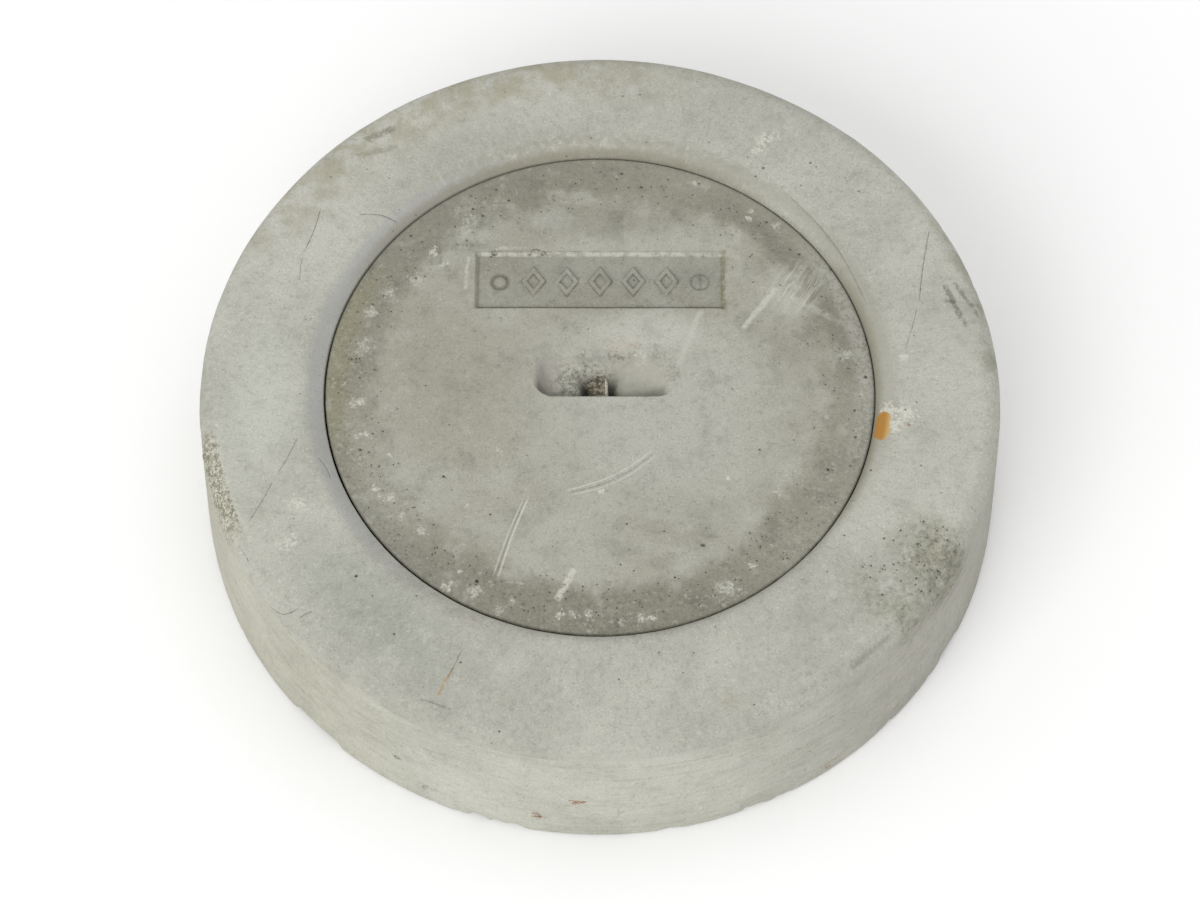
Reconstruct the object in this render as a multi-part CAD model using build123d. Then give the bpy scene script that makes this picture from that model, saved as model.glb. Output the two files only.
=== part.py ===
from build123d import *
import os
from math import cos, radians, sin, sqrt

# Precast concrete cover and surround for a sewer inspection shaft, in millimetres.
# The origin is the centre of the underside and +Z is up. The lid's name panel is on the +Y side
# of the lifting pocket, so a person reading it faces +Y.

# Surround: the outer ring
HEIGHT = 95.0
BASE_RADIUS = 200.0
TOP_RADIUS = 197.0  # before the top edge is rounded
TOP_EDGE_ROUNDING = 10.0
BASE_EDGE_ROUNDING = 2.0
OPENING_RADIUS = 117.5
OPENING_EDGE_ROUNDING = 3.0
INNER_LIP_ROUNDING = 5.0

# Lid: the tapered plug that rests on the surround's ledge
LID_TOP_RADIUS = 135.5
LID_BASE_RADIUS = 130.6
LID_THICKNESS = 40.0
LID_DROP = 4.5  # how far the lid's face lies below the surround's
LID_TOP_ROUNDING = 1.2
LID_BASE_ROUNDING = 2.0
SEAT_GAP = 0.9  # between the lid's side and the seat, measured level

# Lifting pocket: a shallow bowl with one upright wall, and a deeper well in it under the bar
WALL_Y = -4.2
BOWL_HALF_WIDTH = 34.0
BOWL_HALF_LENGTH = 14.9
BOWL_CENTRE_Y = 3.9
BOWL_DEPTH = 10.0
WELL_WIDTH = 18.0
WELL_LENGTH = 15.0
WELL_DEPTH = 25.0

# Lifting bar: a round bar across the well, bent down at both ends to anchor it
BAR_RADIUS = 4.0
BAR_DEPTH = 12.0  # from the lid's face to the bar's centre
BAR_BEND = 16.0
BAR_HALF_SPAN = 35.5
BAR_FOOT_Z = 59.0

# Name panel: a shallow recess with five raised lozenges between two screw-head imprints
PANEL_WIDTH = 125.0
PANEL_LENGTH = 33.4
PANEL_DEPTH = 2.0
PANEL_Y = 62.8
LOZENGE_COUNT = 5
LOZENGE_WIDTH = 12.5
LOZENGE_LENGTH = 17.5
LOZENGE_PITCH = 16.6
LOZENGE_BAND = 2.6  # width of the raised outline
LOZENGE_RELIEF = 1.2
IMPRINT_RADIUS = 5.0
IMPRINT_X = 50.0
IMPRINT_DEPTH = 0.8
IMPRINT_SLOT = 1.4

# Reinforcement: wires that cross are welded, and sink into each other by WELD_SINK
HOOP_WIRE = 3.0  # radius of the surround's hoops
LINK_WIRE = 2.5  # radius of the upright wires between them
LID_WIRE = 2.5  # radius of the lid's hoop and cross wires
WELD_SINK = 0.3
SURROUND_HOOP_RADIUS = 165.0
SURROUND_HOOP_HEIGHTS = {"surround_hoop_lower": 20.0, "surround_hoop_upper": 72.0}
LINK_COUNT = 6
LINK_OVERHANG = 8.0  # past the hoops, at each end
LID_HOOP_RADIUS = 115.0
LID_HOOP_COVER = 10.0  # concrete between the hoop and the lid's underside
LID_WIRE_OFFSET = 50.0
LID_WIRE_OVERHANG = 4.0  # past the hoop, at each end

# Worked out from the above
LID_FACE_Z = HEIGHT - LID_DROP
LEDGE_Z = LID_FACE_Z - LID_THICKNESS
LID_SLOPE = (LID_TOP_RADIUS - LID_BASE_RADIUS) / LID_THICKNESS
SEAT_BASE_RADIUS = LID_BASE_RADIUS + SEAT_GAP
SEAT_TOP_RADIUS = SEAT_BASE_RADIUS + LID_SLOPE * (HEIGHT - LEDGE_Z)
PANEL_FLOOR_Z = LID_FACE_Z - PANEL_DEPTH

STANDING = (Align.CENTER, Align.CENTER, Align.MIN)  # a solid above its own origin
HANGING = (Align.CENTER, Align.CENTER, Align.MAX)  # a solid below its own origin


def turned(points, roundings):
    """A solid turned about Z from a closed profile of (radius, height) points."""
    outline = FilletPolyline(*points, radius=roundings, close=True)
    return revolve(Plane.XZ * make_face(outline), Axis.Z)


# Concrete


def surround_casting():
    profile = {
        (OPENING_RADIUS, 0): BASE_EDGE_ROUNDING,
        (BASE_RADIUS, 0): BASE_EDGE_ROUNDING,
        (TOP_RADIUS, HEIGHT): TOP_EDGE_ROUNDING,
        (SEAT_TOP_RADIUS, HEIGHT): INNER_LIP_ROUNDING,
        (SEAT_BASE_RADIUS, LEDGE_Z): 0,
        (OPENING_RADIUS, LEDGE_Z): OPENING_EDGE_ROUNDING,
    }
    return turned(profile.keys(), profile.values())


def bowl():
    """A spheroid about an axis along X, sunk so that it meets the lid's face in an ellipse."""
    # the axis is lifted above the face until the rim slopes, by the chord rule depth + lift = radius
    lift = (BOWL_HALF_LENGTH**2 - BOWL_DEPTH**2) / (2 * BOWL_DEPTH)
    radius = BOWL_DEPTH + lift
    half_width = BOWL_HALF_WIDTH / sqrt(1 - (lift / radius) ** 2)
    arc = EllipticalCenterArc((0, 0), half_width, radius, start_angle=0, arc_size=180)
    half_section = make_face([arc, Line((-half_width, 0), (half_width, 0))])
    spheroid = Pos(0, BOWL_CENTRE_Y, LID_FACE_Z + lift) * revolve(half_section, Axis.X)
    span = 2 * half_width
    behind_wall = Pos(0, WALL_Y - span / 2, LID_FACE_Z) * Box(span, span, span)
    return spheroid - behind_wall


def well():
    """A slot across the bar, with a half-round floor."""
    floor_radius = WELL_LENGTH / 2
    centre_y = WALL_Y + floor_radius
    centre_z = LID_FACE_Z - WELL_DEPTH + floor_radius
    shaft = Box(WELL_WIDTH, WELL_LENGTH, WELL_DEPTH, align=STANDING)
    floor = Cylinder(floor_radius, WELL_WIDTH, rotation=(0, 90, 0))
    return Pos(0, centre_y, centre_z) * (shaft + floor)


def lozenge():
    half_width = LOZENGE_WIDTH / 2
    half_length = LOZENGE_LENGTH / 2
    outline = Polyline((half_width, 0), (0, half_length), (-half_width, 0), (0, -half_length), close=True)
    face = make_face(outline)
    return extrude(face - offset(face, amount=-LOZENGE_BAND), amount=LOZENGE_RELIEF)


def screw_imprint():
    """A round dent with a ridge across it, as a slotted screw head leaves in concrete."""
    dent = Cylinder(IMPRINT_RADIUS, IMPRINT_DEPTH, align=HANGING)
    return dent - Box(IMPRINT_SLOT, 2 * IMPRINT_RADIUS, 2 * IMPRINT_DEPTH)


def name_panel():
    """The space that the panel takes out of the lid's face."""
    opening = Pos(0, PANEL_Y, LID_FACE_Z) * Rectangle(PANEL_WIDTH, PANEL_LENGTH)
    recess = extrude(opening, amount=-PANEL_DEPTH, taper=45)
    for i in range(LOZENGE_COUNT):
        x = (i - (LOZENGE_COUNT - 1) / 2) * LOZENGE_PITCH
        recess -= Pos(x, PANEL_Y, PANEL_FLOOR_Z) * lozenge()
    for x in (-IMPRINT_X, IMPRINT_X):
        recess += Pos(x, PANEL_Y, PANEL_FLOOR_Z) * screw_imprint()
    return recess


def lid_casting():
    profile = {
        (0, LEDGE_Z): 0,
        (LID_BASE_RADIUS, LEDGE_Z): LID_BASE_ROUNDING,
        (LID_TOP_RADIUS, LID_FACE_Z): LID_TOP_ROUNDING,
        (0, LID_FACE_Z): 0,
    }
    plug = turned(profile.keys(), profile.values())
    return plug - bowl() - well() - name_panel()


# Steel


def hoop(radius, wire, z):
    return Pos(0, 0, z) * Torus(radius, wire)


def upright(wire, low_z, high_z):
    return Pos(0, 0, low_z) * Cylinder(wire, high_z - low_z, align=STANDING)


def lifting_bar():
    bar_z = LID_FACE_Z - BAR_DEPTH
    middle = WALL_Y + WELL_LENGTH / 2
    front = middle - BAR_HALF_SPAN
    back = middle + BAR_HALF_SPAN
    route = Plane.YZ * FilletPolyline(
        (front, BAR_FOOT_Z), (front, bar_z), (back, bar_z), (back, BAR_FOOT_Z), radius=BAR_BEND
    )
    section = Plane(origin=route @ 0, z_dir=route % 0) * Circle(BAR_RADIUS)
    return sweep(section, path=route)


def surround_cage():
    """Two hoops, and the upright links welded to their outer sides."""
    cage = {name: hoop(SURROUND_HOOP_RADIUS, HOOP_WIRE, z) for name, z in SURROUND_HOOP_HEIGHTS.items()}
    hoops = list(cage.values())
    low_z = min(SURROUND_HOOP_HEIGHTS.values()) - LINK_OVERHANG
    high_z = max(SURROUND_HOOP_HEIGHTS.values()) + LINK_OVERHANG
    reach = SURROUND_HOOP_RADIUS + HOOP_WIRE + LINK_WIRE - WELD_SINK
    for i in range(LINK_COUNT):
        angle = radians(360 * (i + 0.5) / LINK_COUNT)
        link = Pos(reach * cos(angle), reach * sin(angle), 0) * upright(LINK_WIRE, low_z, high_z)
        cage[f"surround_link_{i + 1}"] = link - hoops
    return cage


def lid_cage():
    """A hoop, two cross wires lying on it, and two more lying across those."""
    hoop_z = LEDGE_Z + LID_HOOP_COVER + LID_WIRE
    layer = 2 * LID_WIRE - WELD_SINK
    length = 2 * (sqrt(LID_HOOP_RADIUS**2 - LID_WIRE_OFFSET**2) + LID_WIRE_OVERHANG)
    across = Cylinder(LID_WIRE, length, rotation=(0, 90, 0))
    along = Cylinder(LID_WIRE, length, rotation=(90, 0, 0))
    cage = {"lid_hoop": hoop(LID_HOOP_RADIUS, LID_WIRE, hoop_z)}
    for name, side in (("lid_bar_front", -1), ("lid_bar_back", 1)):
        wire = Pos(0, side * LID_WIRE_OFFSET, hoop_z + layer) * across
        cage[name] = wire - cage["lid_hoop"]
    laid_first = [cage["lid_bar_front"], cage["lid_bar_back"]]
    for name, side in (("lid_bar_left", -1), ("lid_bar_right", 1)):
        wire = Pos(side * LID_WIRE_OFFSET, 0, hoop_z + 2 * layer) * along
        cage[name] = wire - laid_first
    return cage


# Assembly


def assembly():
    """Every piece by name. The concrete is cast round its steel, so it is cut by it."""
    ring_steel = surround_cage()
    lid_steel = {"lifting_bar": lifting_bar(), **lid_cage()}
    surround = surround_casting() - list(ring_steel.values())
    lid = lid_casting() - list(lid_steel.values())
    return {"surround": surround, **ring_steel, "lid": lid, **lid_steel}


os.makedirs("parts", exist_ok=True)
for name, piece in assembly().items():
    export_step(piece, f"parts/{name}.step")
    print(f"{name}: {piece.volume / 1000:.2f} cm3")
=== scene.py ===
import bpy
import random
from functools import reduce
from math import atan2, ceil, cos, hypot, pi, radians, sin, sqrt, tan
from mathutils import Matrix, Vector, noise
from mathutils.geometry import delaunay_2d_cdt


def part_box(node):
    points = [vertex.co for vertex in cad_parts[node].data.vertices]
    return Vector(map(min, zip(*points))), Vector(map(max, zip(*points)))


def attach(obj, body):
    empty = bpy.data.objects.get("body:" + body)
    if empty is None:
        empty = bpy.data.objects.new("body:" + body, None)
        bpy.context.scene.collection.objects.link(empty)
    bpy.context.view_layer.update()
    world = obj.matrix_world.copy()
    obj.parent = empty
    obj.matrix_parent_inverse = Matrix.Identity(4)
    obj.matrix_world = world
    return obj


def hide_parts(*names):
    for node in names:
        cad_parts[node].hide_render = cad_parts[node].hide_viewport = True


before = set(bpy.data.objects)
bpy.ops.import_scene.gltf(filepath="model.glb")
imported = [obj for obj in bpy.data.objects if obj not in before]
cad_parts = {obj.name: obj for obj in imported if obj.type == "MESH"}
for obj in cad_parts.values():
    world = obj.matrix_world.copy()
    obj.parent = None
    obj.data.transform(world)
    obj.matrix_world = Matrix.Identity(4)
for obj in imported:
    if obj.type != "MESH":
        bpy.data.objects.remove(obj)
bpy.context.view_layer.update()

# Lengths are in millimetres until something is made in Blender, where MM turns them into metres.
MM = 0.001


def node_box(node):
    low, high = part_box(node)
    return low / MM, high / MM


# Ring: its height and width come from the frame, the rest is how it is cast
RING_HIGH = node_box("surround")[1]
HEIGHT = RING_HIGH.z
BASE_RADIUS = RING_HIGH.x
SIDE_DRAFT = 3.0  # how much narrower the side is at the top
TOP_ROUNDING = 10.0
BASE_ROUNDING = 2.5
OPENING_RADIUS = 117.5
OPENING_ROUNDING = 3.0
LIP_ROUNDING = 5.0
RUBBED_WIDTH = 10.0  # at the left the inner lip is rubbed down to a slope this wide
RUBBED_DEPTH = 4.4

# Lid
LID_LOW, LID_HIGH = node_box("lid")
LID_FACE_Z = LID_HIGH.z
LEDGE_Z = LID_LOW.z
LID_TOP_RADIUS = LID_HIGH.x
LID_BASE_RADIUS = LID_TOP_RADIUS - 4.9
LID_ROUNDING = 1.4
LID_BASE_ROUNDING = 2.0
SEAT_GAP = 0.9

# Lifting pocket in the lid's face: a bowl with one upright wall, and a well in it under the bar
WALL_Y = -4.2
WALL_RUN = 0.4  # the upright wall leans by this much
BOWL_LEFT = (-33.5, -25.0)  # the bowl's left end slopes down between these x
BOWL_RIGHT = (38.0, 18.0)  # and its right end between these, more gently
BOWL_FAR_Y = 18.8
BOWL_DEPTH = 10.0
WELL_HALF_WIDTH = 9.0
WELL_FAR_Y = 10.8
WELL_DEPTH = 25.0

# Lifting bar
BAR_HIGH = node_box("lifting_bar")[1]
BAR_RADIUS = BAR_HIGH.x
BAR_Z = BAR_HIGH.z - BAR_RADIUS

# Name panel in the lid's face
PANEL_Y = 62.8
PANEL_HALF_WIDTH = 62.5
PANEL_HALF_LENGTH = 16.7
PANEL_DEPTH = 2.0
LOZENGE_COUNT = 5
LOZENGE_PITCH = 16.6
LOZENGE_HALF_WIDTH = 6.25
LOZENGE_HALF_LENGTH = 8.75
LOZENGE_BAND = 2.6
LOZENGE_RELIEF = 1.1
LOZENGE_FLANK = 0.4
LOZENGE_SIDE = hypot(LOZENGE_HALF_WIDTH, LOZENGE_HALF_LENGTH)
LOZENGE_INRADIUS = LOZENGE_HALF_WIDTH * LOZENGE_HALF_LENGTH / LOZENGE_SIDE
# How far the raised outline's four edges lie inside its foot
LOZENGE_EDGES = (0, LOZENGE_FLANK, LOZENGE_BAND - LOZENGE_FLANK, LOZENGE_BAND)
IMPRINT_X = 50.0
IMPRINT_RADIUS = 5.0

dice = random.Random(11)


# Small maths


def ripple(place, size, octaves=3):
    """Smooth noise from about -1 to 1 whose largest features are about size across."""
    return noise.fractal(place / size, 0.8, 2.0, octaves)


def ease(value, low, high):
    """0 below low, 1 above high and a smooth S between them."""
    t = min(max((value - low) / (high - low), 0.0), 1.0)
    return t * t * (3 - 2 * t)


def soft_positive(value, blend):
    """value where it is positive and 0 where it is negative, rounded over plus or minus blend."""
    if value > blend:
        return value
    if value < -blend:
        return 0.0
    return (value + blend) ** 2 / (4 * blend)


def bowed(start, end, bow, count=8):
    """A route from start to end that bows sideways by bow."""
    start, end = Vector(start), Vector(end)
    along = (end - start).normalized()
    side = Vector((-along.y, along.x))
    return [start.lerp(end, i / count) + side * bow * sin(pi * i / count) for i in range(count + 1)]


def spaced(route, step):
    """Points about step apart along straight runs between the route's points."""
    points = [Vector(route[0])]
    for start, end in zip(route, route[1:]):
        start, end = Vector(start), Vector(end)
        count = max(1, round((end - start).length / step))
        points += [start.lerp(end, (i + 1) / count) for i in range(count)]
    return points


# Mesh tools


def add_object(name, data):
    thing = bpy.data.objects.new(name, data)
    bpy.context.scene.collection.objects.link(thing)
    return thing


class Shell:
    """Points and faces gathered into one closed mesh. Points in the same place are shared."""

    LAYERS = ("pit", "scrape", "painted_shade")  # holes and grooves darkened with painted shade, pale scratches, painted shade in corners and hollows

    def __init__(self):
        self.index = {}
        self.points = []
        self.layers = {name: [] for name in self.LAYERS}
        self.faces = []

    def point(self, place, pit=0.0, scrape=0.0, painted_shade=0.0):
        key = (round(place.x, 3), round(place.y, 3), round(place.z, 3))
        if key not in self.index:
            self.index[key] = len(self.points)
            self.points.append(place * MM)
            for name, value in zip(self.LAYERS, (pit, scrape, painted_shade)):
                self.layers[name].append(value)
        return self.index[key]

    def face(self, *corners):
        """Corners that are the same point count once."""
        corners = tuple(dict.fromkeys(corners))
        if len(corners) > 2:
            self.faces.append(corners)

    def object(self, name, material):
        mesh = bpy.data.meshes.new(name)
        mesh.from_pydata(self.points, [], self.faces)
        for title, values in self.layers.items():
            mesh.attributes.new(title, "FLOAT", "POINT").data.foreach_set("value", values)
        mesh.shade_smooth()
        mesh.materials.append(material)
        return add_object(name, mesh)


class Blemishes:
    """Flat points of holes, scratches and outlines. Each keeps the plain grid points at a distance."""

    CELL = 6.0

    def __init__(self):
        self.points = []
        self.marks = []  # (sink, pit, scrape) of each point
        self.edges = []
        self.cells = {}

    def add(self, x, y, clear, sink=0.0, pit=0.0, scrape=0.0):
        self.points.append(Vector((x, y)))
        self.marks.append((sink, pit, scrape))
        cell = (int(x // self.CELL), int(y // self.CELL))
        self.cells.setdefault(cell, []).append((x, y, clear))
        return len(self.points) - 1

    def blocks(self, x, y):
        column, row = int(x // self.CELL), int(y // self.CELL)
        for i in (column - 1, column, column + 1):
            for j in (row - 1, row, row + 1):
                for px, py, clear in self.cells.get((i, j), ()):
                    if hypot(x - px, y - py) < clear:
                        return True
        return False

    def hole(self, x, y, radius, depth, stretch=1.0):
        """A round or oval pit, as an air bubble leaves against the mould."""
        turn = dice.uniform(0, 2 * pi)
        self.add(x, y, radius * 1.2 * max(stretch, 1.0), depth, 1.0)
        for share, count, fall in ((0.55, 6, 0.85), (0.85, 8, 0.3), (1.0, 9, 0.0)):
            for i in range(count):
                angle = turn + 2 * pi * (i + dice.uniform(-0.15, 0.15)) / count
                reach = radius * share * dice.uniform(0.92, 1.08)
                across, along = stretch * reach * cos(angle), reach * sin(angle)
                self.add(x + across, y + along, radius * 0.3, depth * fall, fall)

    def groove(self, route, width, depth, pit=0.0, scrape=0.0):
        """A scratch along a route of points, narrowing to nothing at both ends."""
        points = spaced(route, 1.1)
        for i in range(1, len(points) - 1):
            along = (points[i + 1] - points[i - 1]).normalized()
            side = Vector((-along.y, along.x)) * width / 2
            ends = min(1.0, 12 * i / len(points), 12 * (len(points) - 1 - i) / len(points))
            worn = ends * dice.uniform(0.6, 1.0)
            self.add(*points[i], width, depth * worn, pit * worn, scrape * worn)
            for edge in (points[i] + side, points[i] - side):
                self.add(*edge, width / 2)

    def line(self, route, step, clear):
        """An outline that the faces must follow."""
        ends = [self.add(*point, clear) for point in spaced(route, step)]
        self.edges += zip(ends, ends[1:])

    def mesh(self, plain):
        """Triangulates plain points and blemishes. Gives points, the marks on them and the faces."""
        points = self.points + plain
        nothing = (0.0, 0.0, 0.0)
        spots, _, faces, origins, _, _ = delaunay_2d_cdt(points, self.edges, [], 0, 1e-5, True)
        marks = []
        for origin in origins:
            found = [self.marks[i] for i in origin if i < len(self.marks)]
            marks.append(max(found, default=nothing))
        return spots, marks, faces


class Path:
    """A profile of (radius, height) points with rounded corners, measured along its length."""

    ARC_STEPS = 7

    def __init__(self, corners):
        self.points = [Vector(corners[0][:2])]
        for before, corner, after in zip(corners, corners[1:], corners[2:]):
            self.turn(Vector(before[:2]), Vector(corner[:2]), Vector(after[:2]), corner[2])
        self.points.append(Vector(corners[-1][:2]))
        self.marks = [0.0]
        for a, b in zip(self.points, self.points[1:]):
            self.marks.append(self.marks[-1] + (b - a).length)
        self.length = self.marks[-1]

    def turn(self, before, tip, after, rounding):
        back = (before - tip).normalized()
        ahead = (after - tip).normalized()
        half = back.angle(ahead) / 2
        centre = tip + (back + ahead).normalized() * rounding / sin(half)
        start = tip + back * rounding / tan(half) - centre
        end = tip + ahead * rounding / tan(half) - centre
        for i in range(self.ARC_STEPS + 1):
            self.points.append(centre + start.lerp(end, i / self.ARC_STEPS).normalized() * rounding)

    def normal(self, i):
        """The outward normal at a point: to the left of the way along the path."""
        along = self.points[min(i + 1, len(self.points) - 1)] - self.points[max(i - 1, 0)]
        return Vector((-along.y, along.x)).normalized()

    def at(self, mark):
        """(place, outward normal) at a distance along the path."""
        i = 0
        while i < len(self.marks) - 2 and self.marks[i + 1] < mark:
            i += 1
        share = (mark - self.marks[i]) / (self.marks[i + 1] - self.marks[i])
        place = self.points[i].lerp(self.points[i + 1], share)
        return place, self.normal(i).lerp(self.normal(i + 1), share).normalized()


def add_faces(shell, blemishes, plain, place_at, facing):
    """Triangulates flat points. place_at gives (place, painted shade) for a flat point and its sink.

    facing is 1, or -1 to turn the faces over.
    """
    spots, marks, faces = blemishes.mesh(plain)
    ids = []
    for spot, (sink, pit, scrape) in zip(spots, marks):
        place, painted_shade = place_at(spot, sink)
        ids.append(shell.point(place, pit, scrape, painted_shade))
    for face in faces:
        shell.face(*(ids[i] for i in face[::facing]))


def skin_points(path, zones, width, end_count, blemishes):
    """Staggered points for the flattened skin: x round the piece, y along the path."""
    stations = [0.0]
    gaps = [zones[0][1]]
    for length, spacing in zones:
        count = ceil(length / spacing)
        stations += [stations[-1] + length / count * (i + 1) for i in range(count)]
        gaps += [spacing] * count
    points = []
    for row, (station, gap) in enumerate(zip(stations, gaps)):
        mark = station * path.length / stations[-1]
        at_end = row in (0, len(stations) - 1)
        count = end_count if at_end else round(width / gap)
        points += [Vector((0, mark)), Vector((width, mark))]
        for i in range(count):
            shift = 0 if at_end else 0.5 * (row % 2) + dice.uniform(-0.2, 0.2)
            x = (i + shift) * width / count
            y = mark + (0 if at_end else gap * dice.uniform(-0.2, 0.2))
            if 0.3 * gap < x < width - 0.3 * gap and not blemishes.blocks(x, y):
                points.append(Vector((x, y)))
    return points


def add_skin(shell, path, zones, reference, end_count, relief, blemishes):
    """Wraps a turned profile in triangles. zones are (length, spacing) along the path.

    relief gives (lift along the surface's normal, drop straight down) at a place.
    """
    width = 2 * pi * reference

    def place_at(spot, sink):
        around = 0.0 if spot.x > width - 1e-4 else spot.x / reference
        place, normal = path.at(spot.y)
        surface = Vector((place.x * cos(around), place.x * sin(around), place.y))
        outward = Vector((normal.x * cos(around), normal.x * sin(around), normal.y))
        lift, drop = relief(surface)
        surface += outward * (lift - sink)
        surface.z -= drop
        return surface, 0.0

    add_faces(shell, blemishes, skin_points(path, zones, width, end_count, blemishes), place_at, -1)


def disc_points(radius, rim_count, boxes, blemishes):
    """Points over a circle, closer together inside each later (x0, x1, y0, y1, spacing) box."""
    points = []
    for i in range(rim_count):
        angle = 2 * pi * i / rim_count
        points.append(Vector((radius * cos(angle), radius * sin(angle))))
    for number, (x0, x1, y0, y1, gap) in enumerate(boxes):
        finer = boxes[number + 1 :]
        pitch = gap * sqrt(0.75)
        for row in range(ceil((y1 - y0) / pitch)):
            for column in range(ceil((x1 - x0) / gap)):
                x = x0 + (column + 0.5 * (row % 2) + dice.uniform(-0.18, 0.18)) * gap
                y = y0 + row * pitch + dice.uniform(-0.15, 0.15) * gap
                in_finer = any(a < x < b and c < y < d for a, b, c, d, _ in finer)
                if hypot(x, y) < radius - 0.7 * gap and not in_finer and not blemishes.blocks(x, y):
                    points.append(Vector((x, y)))
    return points


def add_disc(shell, radius, rim_count, z, boxes, height, blemishes, facing):
    """Fills a flat circle with triangles. height gives (lift, painted shade) at x, y."""

    def place_at(spot, sink):
        lift, painted_shade = height(spot.x, spot.y)
        return Vector((spot.x, spot.y, z + facing * (lift - sink))), painted_shade

    add_faces(shell, blemishes, disc_points(radius, rim_count, boxes, blemishes), place_at, facing)


# Ring

SEAT_SLOPE = (LID_TOP_RADIUS - LID_BASE_RADIUS) / (LID_FACE_Z - LEDGE_Z)
SEAT_BASE_RADIUS = LID_BASE_RADIUS + SEAT_GAP
SEAT_LIP_RADIUS = SEAT_BASE_RADIUS + SEAT_SLOPE * (HEIGHT - LEDGE_Z)
RING_PATH = Path(
    (
        (SEAT_BASE_RADIUS, LEDGE_Z, 0),
        (SEAT_LIP_RADIUS, HEIGHT, LIP_ROUNDING),
        (BASE_RADIUS - SIDE_DRAFT, HEIGHT, TOP_ROUNDING),
        (BASE_RADIUS, 0, BASE_ROUNDING),
        (OPENING_RADIUS, 0, BASE_ROUNDING),
        (OPENING_RADIUS, LEDGE_Z, OPENING_ROUNDING),
        (SEAT_BASE_RADIUS, LEDGE_Z, 0),
    )
)
# (length, spacing) along the path: seat, lip and top, side, underside, opening, ledge
RING_ZONES = ((34, 2.6), (70, 1.5), (86, 1.9), (80, 4.5), (45, 5.0), (15, 4.5))
RING_REFERENCE = 170.0  # radius at which the flattened skin has its true width
RING_SEAM_COUNT = 240  # points round the path's start, where the skin closes on itself
RING_OUTSIDE = (30, 0.57 * RING_PATH.length)  # the part of the path that runs over the top and the side

# Worn or pitted places: x, y, how far they reach, how deep they are
RING_WEAR = (
    (-194, -30, 12, 1.2), (-193, -44, 12, 1.4), (-190, -57, 12, 1.4), (-186, -70, 10, 1.0),
    (166, -92, 26, 0.7), (152, -124, 16, 0.5), (186, 58, 10, 0.4), (174, 92, 7, 0.5),
    (-112, 152, 14, 0.25),
)

# Scratches on the top face: start, end, bow, width, depth
RING_SCRATCHES = (
    ((-141, 103), (-149, 76), 1.0, 0.7, 0.3),
    ((-149, 74), (-150, 60), -0.5, 0.6, 0.2),
    ((-148, -30), (-157, -50), 0.5, 0.6, 0.3),
    ((-159, -54), (-170, -77), 0.5, 0.6, 0.25),
    ((166, 91), (159, 47), -0.6, 0.7, 0.35),
    ((158, 45), (151, 20), 0.5, 0.5, 0.2),
    ((-66, -146), (-72, -160), 0.3, 0.7, 0.3),
    ((-122, 99), (-103, 96), 1.4, 0.7, 0.3),
    ((-161, -121), (-143, -123), -3.4, 0.6, 0.3),
    ((-143, -128), (-137, -125), 0.3, 0.6, 0.3),
    ((-176, -88), (-169, -100), 1.0, 0.6, 0.3),
    ((-138, -40), (-131, -52), 1.0, 0.5, 0.2),
    ((172, 96), (177, 89), 0.5, 0.8, 0.4),
    ((177, 80), (184, 74), 0.5, 0.8, 0.4),
    ((121, -154), (140, -136), 0.5, 3.2, 0.5),
)

# The edge of the mould's inner former, left on the lip as a fine line
MOULD_LINE = bowed((93, 113), (133, 46), 5.0, 16)

ROUGH_PATCH = (156, -100, 30)  # pitted more than the rest: x, y, reach

# Air holes on the top face that stand out: x, y, radius
RING_HOLES = (
    (-117, -106, 0.9), (-66, -152, 0.6), (9, -161, 0.5), (28, -147, 0.4), (83, 127, 0.8),
    (79, 122, 0.6), (107, 130, 0.7), (132, -48, 0.7), (-98, -137, 0.6), (150, -14, 0.6),
    (118, -84, 0.6),
)


def seat_shift(around):
    """How much closer to the lid the seat stands, because the lid doesn't lie quite centred."""
    return 0.3 - 0.25 * cos(around - radians(215))


def lip_drop(place, radius, around):
    """How deep the rubbed slope is cut. Away from the left the lip keeps its rounding."""
    share = ease(cos(around - radians(170)), -0.7, 0.8)
    slope = HEIGHT - RUBBED_DEPTH * max(0.0, 1 - (radius - SEAT_LIP_RADIUS) / RUBBED_WIDTH) ** 1.5
    return share * max(0.0, place.z - slope) if place.z > LID_FACE_Z - 1 else 0.0


def ring_relief(place):
    """How far the ring's surface stands proud of a perfect turning."""
    radius = hypot(place.x, place.y)
    around = atan2(place.y, place.x)
    below = HEIGHT - place.z
    outside = ease(radius, 139, 146)
    lift = (0.30 * ripple(place, 80) + 0.10 * ripple(place, 17) + 0.03 * ripple(place, 4, 2)) * outside
    inside = (1 - ease(radius, 136, 141)) * ease(place.z, LEDGE_Z + 0.5, LEDGE_Z + 6)
    lift += inside * (seat_shift(around) + 0.06 * ripple(place, 9, 2))
    drop = lip_drop(place, radius, around) if radius < SEAT_LIP_RADIUS + RUBBED_WIDTH else 0.0
    # the side keeps long shallow lines from the mould, and its lower edge is ragged
    on_side = ease(radius, 190, 196)
    streak = Vector((around * 4.0, place.z / 3.2, 5.0))
    lift += on_side * ease(below, 6, 14) * 0.12 * noise.fractal(streak, 0.9, 2.0, 3)
    ragged = on_side * (1 - ease(place.z, 0.5, 8))
    bite = ease(ripple(Vector((place.x, place.y, 0)), 30, 4), 0.1, 0.7)
    lift -= ragged * (0.3 + 3.0 * bite)
    for x, y, reach, depth in RING_WEAR:
        distance = hypot(place.x - x, place.y - y)
        if distance < reach and below < 30:
            near = 1 - ease(distance, 0.3 * reach, reach)
            lift -= outside * near * depth * (0.5 + 0.9 * ripple(place, 4, 4))
    # nothing stands below the level the ring rests on
    lift = min(lift, lift * ease(place.z, 0, 4))
    return lift, drop


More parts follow.
